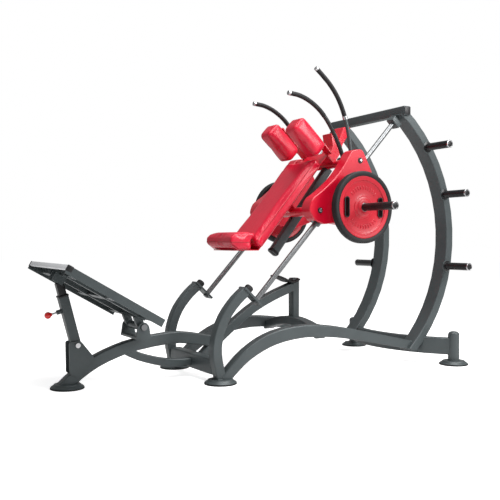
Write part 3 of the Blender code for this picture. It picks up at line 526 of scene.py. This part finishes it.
def stuffed(name, node, shrink, cap, board=None):
    """Foam under a tight cover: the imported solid, a little shrunk, is blown up as cloth and kept within cap.

    board is a point and a normal: what lies behind that plane is held flat by the board.
    """
    pad = welded_skin(node)
    pad.name = name
    shape = bmesh.new()
    shape.from_mesh(pad.data)
    bmesh.ops.triangulate(shape, faces=shape.faces)
    shape.to_mesh(pad.data)
    shape.free()
    foam = pad.modifiers.new("foam", "REMESH")
    foam.mode = "VOXEL"
    foam.voxel_size = 0.006
    graph = bpy.context.evaluated_depsgraph_get()
    pad.data = bpy.data.meshes.new_from_object(pad.evaluated_get(graph))
    pad.modifiers.clear()
    for step in range(3):
        relax(pad.data, 0.5)
    start = []
    for vertex in pad.data.vertices:
        on_board = board and (vertex.co - board[0]).dot(board[1]) < 0.004
        if not on_board:
            vertex.co -= vertex.normal * shrink
        start.append((vertex.co.copy(), on_board))
    held = pad.vertex_groups.new(name="held")
    held.add([i for i, (_, on_board) in enumerate(start) if on_board], 1.0, "REPLACE")
    cover = pad.modifiers.new("cover", "CLOTH")
    cover.settings.quality = 4
    cover.settings.mass = 0.3
    cover.settings.tension_stiffness = 25.0
    cover.settings.compression_stiffness = 25.0
    cover.settings.bending_stiffness = 6.0
    cover.settings.shrink_min = 0.012
    cover.settings.use_pressure = True
    cover.settings.uniform_pressure_force = 4.0
    cover.settings.effector_weights.gravity = 0.0
    if board:
        cover.settings.vertex_group_mass = "held"
    for number in range(1, 21):
        bpy.context.scene.frame_set(number)
    graph = bpy.context.evaluated_depsgraph_get()
    blown = [v.co.copy() for v in pad.evaluated_get(graph).data.vertices]
    pad.modifiers.clear()
    bpy.context.scene.frame_set(1)
    for vertex, (rest, _), target in zip(pad.data.vertices, start, blown):
        move = target - rest
        if move.length > cap:
            move *= cap / move.length
        vertex.co = rest + move
    for step in range(5):
        relax(pad.data, 0.5)
    on_machine(pad, upholstery, "sled", 180.0)
    smooth = pad.modifiers.new("smooth", "SUBSURF")
    smooth.levels = 1
    smooth.render_levels = 1
    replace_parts(pad, node)
    return pad


def relax(mesh, share):
    """Moves every vertex a share of the way to the middle of its neighbours."""
    sums = [Vector() for _ in mesh.vertices]
    counts = [0] * len(mesh.vertices)
    for edge in mesh.edges:
        a, b = edge.vertices
        sums[a] += mesh.vertices[b].co
        sums[b] += mesh.vertices[a].co
        counts[a] += 1
        counts[b] += 1
    for vertex, total, count in zip(mesh.vertices, sums, counts):
        vertex.co = vertex.co.lerp(total / count, share)


def on_pad(pad, points, lift=0.0):
    """The points moved to the nearest place on a pad's cover."""
    found = []
    for point in points:
        _, place, normal, _ = pad.closest_point_on_mesh(point)
        found.append(place + normal * lift)
    return found


def rounded_loop(corners, radius, pitch=0.008):
    """Points a pitch apart round a flat loop of corners, each corner rounded off."""
    loop = []
    for i, corner in enumerate(corners):
        before, after = corners[i - 1], corners[(i + 1) % len(corners)]
        start = corner + (before - corner).normalized() * radius
        end = corner + (after - corner).normalized() * radius
        loop += [start.lerp(corner, t).lerp(corner.lerp(end, t), t) for t in (0.0, 0.25, 0.5, 0.75, 1.0)]
    dense = []
    for start, end in zip(loop, loop[1:] + loop[:1]):
        count = max(1, round((end - start).length / pitch))
        dense += [start.lerp(end, i / count) for i in range(count)]
    return dense


def sewn(name, pad, corners, radius):
    """A piped seam round a pad, half sunk in its cover."""
    route = rounded_loop(corners, radius)
    return bead(name, on_pad(pad, route, 0.0002), "sled", piping, radius=0.0021, ripple=1.0)


def stitched(name, pad, corners, radius):
    """A row of thread stitches along a loop on a pad's cover, each a small lens that dips at both ends."""
    route = rounded_loop(corners, radius, 0.0032)
    route = on_pad(pad, route[: len(route) // 2 * 2])
    shape = bmesh.new()
    for start, end in zip(route[0::2], route[1::2]):
        middle = (start + end) / 2
        run = (end - start).normalized()
        _, _, normal, _ = pad.closest_point_on_mesh(middle)
        side = run.cross(normal).normalized() * 0.0007
        ends = [shape.verts.new(start - run * 0.0006), shape.verts.new(end + run * 0.0006)]
        belt = [middle + side, middle + normal * 0.0007, middle - side, middle - normal * 0.0007]
        belt = [shape.verts.new(point) for point in belt]
        for i in range(4):
            shape.faces.new((belt[i - 1], belt[i], ends[0]))
            shape.faces.new((belt[i], belt[i - 1], ends[1]))
    bmesh.ops.recalc_face_normals(shape, faces=shape.faces)
    mesh = bpy.data.meshes.new(name)
    shape.to_mesh(mesh)
    shape.free()
    piece = bpy.data.objects.new(name, mesh)
    bpy.context.scene.collection.objects.link(piece)
    return on_machine(piece, thread, "sled", 180.0)


PAD_SLOPE = 0.047  # how far the pads lean from the rods
pad_low_end, pad_high_end = on_rods(0.33, 0.11), on_rods(1.05, 0.11 + 0.72 * PAD_SLOPE)
pad_run = (pad_high_end - pad_low_end).normalized()
pad_face = Vector((-pad_run.z, 0.0, pad_run.x))
pad_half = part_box("back_pad")[1].y

back_pad = stuffed("back_pad_cover", "back_pad", 0.002, 0.012, (pad_low_end, pad_face))


def back_pad_loop(height, inset):
    """The corners of a loop round the back pad, above its underside and in from its edges."""
    corners = []
    for along, y in ((0.0, -1), (0.0, 1), (1.0, 1), (1.0, -1)):
        run = pad_low_end.lerp(pad_high_end, along) + pad_run * (inset if along == 0 else -inset)
        corners.append(run + pad_face * height + Vector((0, y * (pad_half - inset), 0)))
    return corners


sewn("back_pad_top_seam", back_pad, back_pad_loop(0.058, 0.006), 0.02)
sewn("back_pad_lower_seam", back_pad, back_pad_loop(0.016, 0.0), 0.02)
stitched("back_pad_stitches", back_pad, back_pad_loop(0.072, 0.017), 0.018)

seat_low, seat_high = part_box("seat_pad")
seat_board = (Vector((0.0, 0.0, seat_low.z)), Vector((0.0, 0.0, 1.0)))
seat_pad = stuffed("seat_pad_cover", "seat_pad", 0.0015, 0.010, seat_board)
seat_seam_z = seat_low.z + 0.45 * (seat_high.z - seat_low.z)
front, back = seat_low.x - 0.01, seat_high.x - 0.04
corners = [(front, -pad_half), (front, pad_half), (back, pad_half), (back, -pad_half)]
corners = [Vector((x, y, seat_seam_z)) for x, y in corners]
sewn("seat_pad_seam", seat_pad, corners, 0.02)
seat_top_z = seat_high.z + 0.005
seat_front_x, seat_back_x = seat_low.x + 0.035, seat_high.x - 0.045
corners = [(seat_front_x, -1), (seat_front_x, 1), (seat_back_x, 1), (seat_back_x, -1)]
corners = [Vector((x, y * (pad_half - 0.018), seat_top_z)) for x, y in corners]
stitched("seat_pad_stitches", seat_pad, corners, 0.018)

for side, sign in (("left", -1), ("right", 1)):
    arm_board = (on_rods(1.145, 0.35), -ALONG)
    pad = stuffed(f"shoulder_pad_{side}_cover", f"shoulder_pad_{side}", 0.002, 0.012, arm_board)
    for edge, y in (("inner", 0.100), ("outer", 0.200)):
        outline = ((1.01, 0.21), (1.157, 0.21), (1.157, 0.497), (1.01, 0.497))
        corners = [on_rods(u, v, sign * y) for u, v in outline]
        sewn(f"shoulder_pad_{side}_{edge}_seam", pad, corners, 0.03)
        inward = 0.009 if edge == "inner" else -0.009
        corners = [corner + Vector((0, sign * inward, 0)) for corner in corners]
        stitched(f"shoulder_pad_{side}_{edge}_stitches", pad, corners, 0.03)

# Handles. Bent steel bar, welded to the upper cross tube, with a ribbed rubber grip and a bright cap on its
# end.
def smooth_path(points, per_span):
    """Points on a Catmull-Rom curve through the given ones."""
    points = [Vector(p) for p in points]
    ends = [points[0] * 2 - points[1]] + points + [points[-1] * 2 - points[-2]]
    path = []
    for i in range(1, len(ends) - 2):
        a, b, c, d = ends[i - 1 : i + 3]
        for step in range(per_span):
            t = step / per_span
            bend = (2 * a - 5 * b + 4 * c - d) * t**2
            twist = (3 * b - a - 3 * c + d) * t**3
            path.append(0.5 * (2 * b + (c - a) * t + bend + twist))
    return path + [points[-1]]


def tube(name, path, radius, material, body, ribs=0.0):
    """A round bar along a path. ribs is how much every other ring is thinner, for a moulded grip."""
    line = bpy.data.curves.new(name, "CURVE")
    line.dimensions = "3D"
    line.bevel_depth = radius
    line.bevel_resolution = 5
    line.use_fill_caps = True
    run = line.splines.new("POLY")
    run.points.add(len(path) - 1)
    for i, point in enumerate(path):
        run.points[i].co = (*point, 1.0)
        run.points[i].radius = 1.0 - ribs * (i % 2)
    return on_machine(as_mesh(line, name), material, body, 60.0)


def stretch(path, start, end, pitch):
    """The part of a path between two distances along it, as points a pitch apart."""
    marks = [0.0]
    for a, b in zip(path, path[1:]):
        marks.append(marks[-1] + (b - a).length)
    end = min(end, marks[-1])
    count = max(2, round((end - start) / pitch))
    found = []
    for k in range(count + 1):
        distance = start + (end - start) * k / count
        i = min(next((j for j, m in enumerate(marks) if m >= distance), len(marks) - 1), len(marks) - 1)
        i = max(i, 1)
        share = (distance - marks[i - 1]) / (marks[i] - marks[i - 1])
        found.append(path[i - 1].lerp(path[i], share))
    return found


def bar_cap(name, path, radius, body):
    """A bright domed cap over the last of a bar."""
    end, run = path[-1], (path[-1] - path[-2]).normalized()
    profile = [(0, 0.003)] + round_nose(radius, 0.003, 0.004, 4)
    profile += [(radius, -0.013), (radius - 0.003, -0.014), (0, -0.014)]
    turned(name, profile, end, run, chrome, body)


grip_rubber = coated(
    "grip_rubber", (0.011, 0.011, 0.012), 0.52, peel=0.35, peel_scale=500.0, drift=0.15, specular=0.3
)
handle_low, handle_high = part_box("handle_right")
HANDLE_Y = (handle_low.y + handle_high.y) / 2
handle_route = [(1.165, 0.066), (1.205, 0.15), (1.245, 0.28), (1.260, 0.40)]
handle_route += [(1.246, 0.50), (1.211, 0.585), (1.158, 0.655)]
for side, sign in (("left", -1), ("right", 1)):
    path = smooth_path([on_rods(u, v, sign * HANDLE_Y) for u, v in handle_route], 8)
    length = sum((b - a).length for a, b in zip(path, path[1:]))
    bare = stretch(path, 0.0, length - 0.30, 0.01)
    bar = tube(f"handle_{side}_bar", bare, 0.0135, black_sleeve, "sled")
    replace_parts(bar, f"handle_{side}")
    grip = stretch(path, length - 0.31, length - 0.012, 0.0045)
    tube(f"handle_{side}_grip", grip, 0.0152, grip_rubber, "sled", ribs=0.07)
    bar_cap(f"handle_{side}_cap", stretch(path, length - 0.05, length, 0.01), 0.0150, "sled")
    root = ring_points(path[1], path[2] - path[0], 0.0145, 30)
    bead(f"handle_{side}_bead", root, "sled", red, radius=0.0028)

# Release lever. A long bent bar on a hub that turns on the upper cross tube. A bright collar divides the grey
# bar from its black grip, and the tip is capped.
lever_joint = next(j for j in frame["joints"] if j["name"] == "lever_turn")
lever_axis = Vector(lever_joint["pos_m"])
lever_route = [(0.008, 0.040), (0.0083, 0.082), (-0.0047, 0.176), (-0.0287, 0.266), (-0.0607, 0.348)]
lever_route += [(-0.1017, 0.421), (-0.1567, 0.488), (-0.2177, 0.542), (-0.2667, 0.581)]
lever_path = smooth_path([lever_axis + Vector((x, 0.0, z)) for x, z in lever_route], 8)
lever_length = sum((b - a).length for a, b in zip(lever_path, lever_path[1:]))
COLLAR_AT = 0.255
bare = stretch(lever_path, 0.0, COLLAR_AT, 0.01)
lever_bar = tube("lever_bar", bare, 0.0125, slate, "lever")
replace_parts(lever_bar, "release_lever")
lever_grip = stretch(lever_path, COLLAR_AT, lever_length - 0.014, 0.006)
tube("lever_grip", lever_grip, 0.0148, grip_rubber, "lever", ribs=0.03)
collar = stretch(lever_path, COLLAR_AT - 0.014, COLLAR_AT + 0.008, 0.0055)
tube("lever_collar", collar, 0.0162, chrome, "lever")
bar_cap("lever_cap", stretch(lever_path, lever_length - 0.05, lever_length, 0.01), 0.0152, "lever")
hub = [(0.0258, 0.0155)] + round_nose(0.042, 0.0155, 0.003)
hub += [(0.042, -0.0125), (0.039, -0.0155), (0.0258, -0.0155)]
turned("lever_hub", hub, lever_axis, (0, 1, 0), slate, "lever", ring=True)
root = ring_points(lever_axis + Vector((0.0085, 0.0, 0.0425)), (0, 0, 1), 0.0138, 28)
bead("lever_bead", root, "lever", slate, radius=0.0026)

# Weight plates. A red cast-iron disc with a machined hub, raised rings, two grip slots and short cast ribs
# sits in a thick black rubber rim, on a bright steel bush. Black rubber liners darken the slots as painted
# shade.
plate_red = coated(
    "plate_red", (0.47, 0.008, 0.022), 0.38, coat=0.12, peel=0.30, peel_scale=260.0, drift=0.10, specular=0.4
)


# The grip slots' distance from the bore, end radius and half height, and the ribs' radius and pitch.
SLOT_AT, SLOT_END, SLOT_TALL = 0.1315, 0.0165, 0.046
RIB_AT, RIB_PITCH = 0.122, 9.5


def cast_rib(name, centre, out, sign, body):
    """A short raised bar on the disc's web, lying along a radius."""
    shape = bmesh.new()
    bmesh.ops.create_cube(shape, size=1.0)
    across = Vector((0, sign, 0)).cross(out)
    for vertex in shape.verts:
        x, y, z = vertex.co
        narrow = 1.0 - 0.35 * (y + 0.5)
        flat = centre + out * (x * 0.030 * narrow) + across * (z * 0.009 * narrow)
        vertex.co = flat + Vector((0, sign * y * 0.0044, 0))
    bmesh.ops.recalc_face_normals(shape, faces=shape.faces)
    bmesh.ops.bevel(shape, geom=shape.edges[:], offset=0.0009, segments=2, profile=0.5, affect="EDGES")
    mesh = bpy.data.meshes.new(name)
    shape.to_mesh(mesh)
    shape.free()
    piece = bpy.data.objects.new(name, mesh)
    bpy.context.scene.collection.objects.link(piece)
    return on_machine(piece, plate_red, body)


for side, sign in (("left", -1), ("right", 1)):
    body = f"plate_{side}"
    low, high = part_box(f"weight_plate_{side}")
    centre = (low + high) / 2
    rim = (high.x - low.x) / 2
    half = (high.y - low.y) / 2
    outward = (0, sign, 0)
    tyre = [(0.193, half - 0.009), (0.196, half - 0.004), (0.202, half)]
    tyre += round_nose(rim, half, 0.010, 6)
    tyre += [(radius, -height) for radius, height in reversed(round_nose(rim, half, 0.010, 6))]
    tyre += [(0.202, -half), (0.196, 0.004 - half), (0.193, 0.009 - half)]
    ring = turned(f"plate_{side}_rim", tyre, centre, outward, rubber, body, 96, ring=True)
    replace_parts(ring, f"weight_plate_{side}")

    web = 0.010
    face = [(0.0275, half)] + round_nose(0.047, half, 0.003, 3) + [(0.051, 0.019), (0.058, web + 0.005)]
    face += [(0.070, web + 0.005), (0.074, web + 0.001), (0.080, web), (0.160, web), (0.165, web + 0.002)]
    face += [(0.168, web + 0.007), (0.1735, web + 0.008), (0.180, web + 0.008), (0.186, web + 0.010)]
    face += [(0.1935, web + 0.010)]
    both = face + [(r, -h) for r, h in reversed(face)]
    disc = turned(f"plate_{side}_disc", both, centre, outward, plate_red, body, 96, ring=True)
    bush = [(0.0254, half - 0.0002), (0.0285, half - 0.0002)]
    bush += [(0.0285, 0.0002 - half), (0.0254, 0.0002 - half)]
    turned(f"plate_{side}_bush", bush, centre, outward, chrome, body, ring=True)

    for end, forward in (("front", -1), ("rear", 1)):
        outline = []
        for k in range(24):
            turn = 2 * math.pi * (k + 0.5) / 24
            tall = SLOT_TALL if math.sin(turn) > 0 else -SLOT_TALL
            outline.append((forward * SLOT_AT + SLOT_END * math.cos(turn), tall + SLOT_END * math.sin(turn)))
        cutter_shape = bmesh.new()
        rings = []
        for y in (-0.03, 0.03):
            rings.append([cutter_shape.verts.new(centre + Vector((x, y, z))) for x, z in outline])
        cutter_shape.faces.new(rings[0])
        cutter_shape.faces.new(rings[1])
        for k in range(24):
            cutter_shape.faces.new((rings[0][k - 1], rings[0][k], rings[1][k], rings[1][k - 1]))
        bmesh.ops.recalc_face_normals(cutter_shape, faces=cutter_shape.faces)
        cutter_mesh = bpy.data.meshes.new("slot_cutter")
        cutter_shape.to_mesh(cutter_mesh)
        cutter_shape.free()
        cutter = bpy.data.objects.new("slot_cutter", cutter_mesh)
        bpy.context.scene.collection.objects.link(cutter)
        opening = disc.modifiers.new("opening", "BOOLEAN")
        opening.operation = "DIFFERENCE"
        opening.object = cutter
        graph = bpy.context.evaluated_depsgraph_get()
        disc.data = bpy.data.meshes.new_from_object(disc.evaluated_get(graph))
        disc.modifiers.clear()
        bpy.data.objects.remove(cutter)

        # The slot's black rubber liner is painted shade: a dark sleeve that makes the slot read dark inside,
        # as shade would.
        shade_liner_shape = bmesh.new()
        layers = []
        section = [(0.0003, -0.017), (0.0003, 0.017), (-0.0022, 0.0185)]
        section += [(0.003, 0.0185), (0.003, -0.0185), (-0.0022, -0.0185)]
        for inset, y in section:
            layer = []
            for x, z in outline:
                middle_x, middle_z = forward * SLOT_AT, SLOT_TALL if z > 0 else -SLOT_TALL
                shrink = 1.0 - inset / SLOT_END
                x = middle_x + (x - middle_x) * shrink
                z = middle_z + (z - middle_z) * shrink
                layer.append(shade_liner_shape.verts.new(centre + Vector((x, y, z))))
            layers.append(layer)
        for a, b in zip(layers, layers[1:] + layers[:1]):
            for k in range(24):
                shade_liner_shape.faces.new((a[k - 1], a[k], b[k], b[k - 1]))
        bmesh.ops.recalc_face_normals(shade_liner_shape, faces=shade_liner_shape.faces)
        shade_liner_mesh = bpy.data.meshes.new(f"plate_{side}_{end}_liner")
        shade_liner_shape.to_mesh(shade_liner_mesh)
        shade_liner_shape.free()
        shade_liner = bpy.data.objects.new(f"plate_{side}_{end}_liner", shade_liner_mesh)
        bpy.context.scene.collection.objects.link(shade_liner)
        on_machine(shade_liner, rubber, body)
    disc.data.set_sharp_from_angle(angle=math.radians(35))

    for number in range(22):
        arc = number - 11 if number > 10 else number
        turn = math.radians((90 if number < 11 else 270) + (arc - 5) * RIB_PITCH)
        out = Vector((math.cos(turn), 0.0, math.sin(turn)))
        rib_at = centre + out * RIB_AT + Vector((0, sign * (web + 0.0008), 0))
        cast_rib(f"plate_{side}_rib_{number}", rib_at, out, sign, body)

# Foot plate. A deck folded from steel sheet on a welded frame of flat bar. Its upper edge is a bright
# aluminium strip, its corners are plugged, and a ribbed rubber mat lies on top.
for name in ("foot_plate", "step_frame"):
    finished(name, slate, sharp=40.0)
finished("step_hinge_pin", rod_steel, sharp=40.0)
finished("post_pivot_bolt", chrome, sharp=40.0)
aluminium = coated(
    "satin_aluminium", (0.80, 0.81, 0.83), 0.38, metallic=0.1, peel=0.08, peel_scale=300.0, drift=0.05
)
deck_low, deck_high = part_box("foot_plate")
STEP_ANGLE = math.radians(30.0)
uphill = Vector((-math.cos(STEP_ANGLE), 0.0, math.sin(STEP_ANGLE)))
deck_up = Vector((math.sin(STEP_ANGLE), 0.0, math.cos(STEP_ANGLE)))
DECK_HALF = 0.305
DECK_SKIRT = 0.045
deck_top_end = Vector((deck_low.x + DECK_SKIRT * deck_up.x, 0.0, deck_high.z))
deck_middle = deck_top_end - uphill * DECK_HALF


def on_deck(along, up, y):
    """A point on the foot plate: uphill from its middle, and above its top face."""
    return deck_middle + uphill * along + deck_up * up + Vector((0, y, 0))


def slab(name, low, high, material, body, edge=0.0015):
    """A flat bar on the deck between two (along, up, y) corners, with broken edges."""
    shape = bmesh.new()
    bmesh.ops.create_cube(shape, size=1.0)
    for vertex in shape.verts:
        share = [vertex.co[k] + 0.5 for k in range(3)]
        vertex.co = on_deck(*[low[k] + (high[k] - low[k]) * share[k] for k in range(3)])
    bmesh.ops.recalc_face_normals(shape, faces=shape.faces)
    bmesh.ops.bevel(shape, geom=shape.edges[:], offset=edge, segments=2, profile=0.5, affect="EDGES")
    mesh = bpy.data.meshes.new(name)
    shape.to_mesh(mesh)
    shape.free()
    piece = bpy.data.objects.new(name, mesh)
    bpy.context.scene.collection.objects.link(piece)
    return on_machine(piece, material, body)


deck_wide = deck_high.y
low = (DECK_HALF - 0.014, -0.024, -deck_wide + 0.016)
high = (DECK_HALF + 0.0025, 0.0022, deck_wide - 0.016)
slab("deck_edge_strip", low, high, aluminium, "step", 0.001)
for side, sign in (("left", -1), ("right", 1)):
    inner, outer = sorted((sign * (deck_wide - 0.015), sign * (deck_wide + 0.0012)))
    low, high = (DECK_HALF - 0.030, -0.030, inner), (DECK_HALF + 0.0035, 0.003, outer)
    slab(f"deck_corner_{side}", low, high, plastic, "step", 0.003)
low, high = (-DECK_HALF + 0.02, 0.0004, 0.03 - deck_wide), (DECK_HALF - 0.03, 0.003, deck_wide - 0.03)
slab("deck_mat", low, high, rubber, "step", 0.0008)
for number in range(17):
    along = -DECK_HALF + 0.045 + number * 0.032
    low, high = (along - 0.004, 0.0025, 0.045 - deck_wide), (along + 0.004, 0.0048, deck_wide - 0.045)
    slab(f"mat_rib_{number}", low, high, rubber, "step", 0.001)

# Telescopic post. A square tube turns on the pivot bolt, a smaller one slides in it, and a sprung pin with a
# red ball sits on its face. The inner tube's row of holes is not made.
finished("post_outer", slate)
finished("post_inner", black_sleeve)
ball_red = coated("ball_red", (0.70, 0.012, 0.010), 0.22, coat=0.5, peel=0.02, drift=0.04)
pin_joint = next(j for j in frame["joints"] if j["name"] == "pin_pull")
pin_out = Vector(pin_joint["axis"])
post_joint = next(j for j in frame["joints"] if j["name"] == "post_turn")
post_up = Vector((pin_out.z, 0.0, -pin_out.x))
POST_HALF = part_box("post_outer")[1].y
PIN_HEIGHT = 0.205
BALL = 0.019
BALL_AT = 0.078
pin_face = Vector(post_joint["pos_m"]) + post_up * PIN_HEIGHT + pin_out * POST_HALF
ball = [(0, BALL_AT + BALL)]
for k in range(1, 13):
    turn = math.radians(90 - k * 12)
    ball.append((BALL * math.cos(turn), BALL_AT + BALL * math.sin(turn)))
ball += [(0.0095, BALL_AT - 0.0185), (0.0095, BALL_AT - 0.022), (0.0, BALL_AT - 0.022)]
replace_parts(turned("pull_pin_ball", ball, pin_face, pin_out, ball_red, "pull_pin"), "pull_pin")
shaft = [(0, BALL_AT - 0.0222), (0.0048, BALL_AT - 0.0222), (0.0048, 0.0325)]
shaft += [(0.0075, 0.0315), (0.0075, 0.0283), (0, 0.0283)]
turned("pull_pin_shaft", shaft, pin_face, pin_out, chrome, "pull_pin")
collar_top = Vector(post_joint["pos_m"]) + post_up * 0.286
plug("post_guide", collar_top, post_up, (0, 1, 0), 0.060, 0.060, "post_outer", plastic, 0.007)

# Bolts. Zinc-plated hexagon heads on black washers: two on each side bracket, over the ends of the cross
# tubes, and four on the foot plate's deck.
zinc = coated("bolt_zinc", (0.55, 0.56, 0.57), 0.30, metallic=0.9, peel=0.06, peel_scale=300.0, drift=0.05)


def bolt(name, place, outward, body, head=0.0105, washer=0.0185):
    """A hexagon head with a chamfered top on a turned washer, seated on a face."""
    disc = [(0, 0.0030), (washer - 0.0008, 0.0030), (washer, 0.0022), (washer, 0.0), (0, 0.0)]
    turned(f"{name}_washer", disc, place, outward, plastic, body, 28)
    height = 0.0030 + head * 0.72
    hexagon = [(0, height), (head * 0.86, height), (head, height - 0.0014), (head, 0.0030), (0, 0.0030)]
    turned(f"{name}_head", hexagon, place, outward, zinc, body, 6)


bracket_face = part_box("side_bracket_right")[1].y
for side, sign in (("left", -1), ("right", 1)):
    for end, (u, v) in {"upper": (1.167, 0.045), "lower": (0.715, 0.052)}.items():
        bolt(f"bracket_bolt_{side}_{end}", on_rods(u, v, sign * bracket_face), (0, sign, 0), "sled")
for along in (-0.2, 0.19):
    for side, y in (("left", -0.15), ("right", 0.15)):
        where = "upper" if along > 0 else "lower"
        point = deck_middle + uphill * along + Vector((0, y, 0))
        bolt(f"deck_bolt_{side}_{where}", point + deck_up * 0.0028, deck_up, "step", 0.007, 0.011)
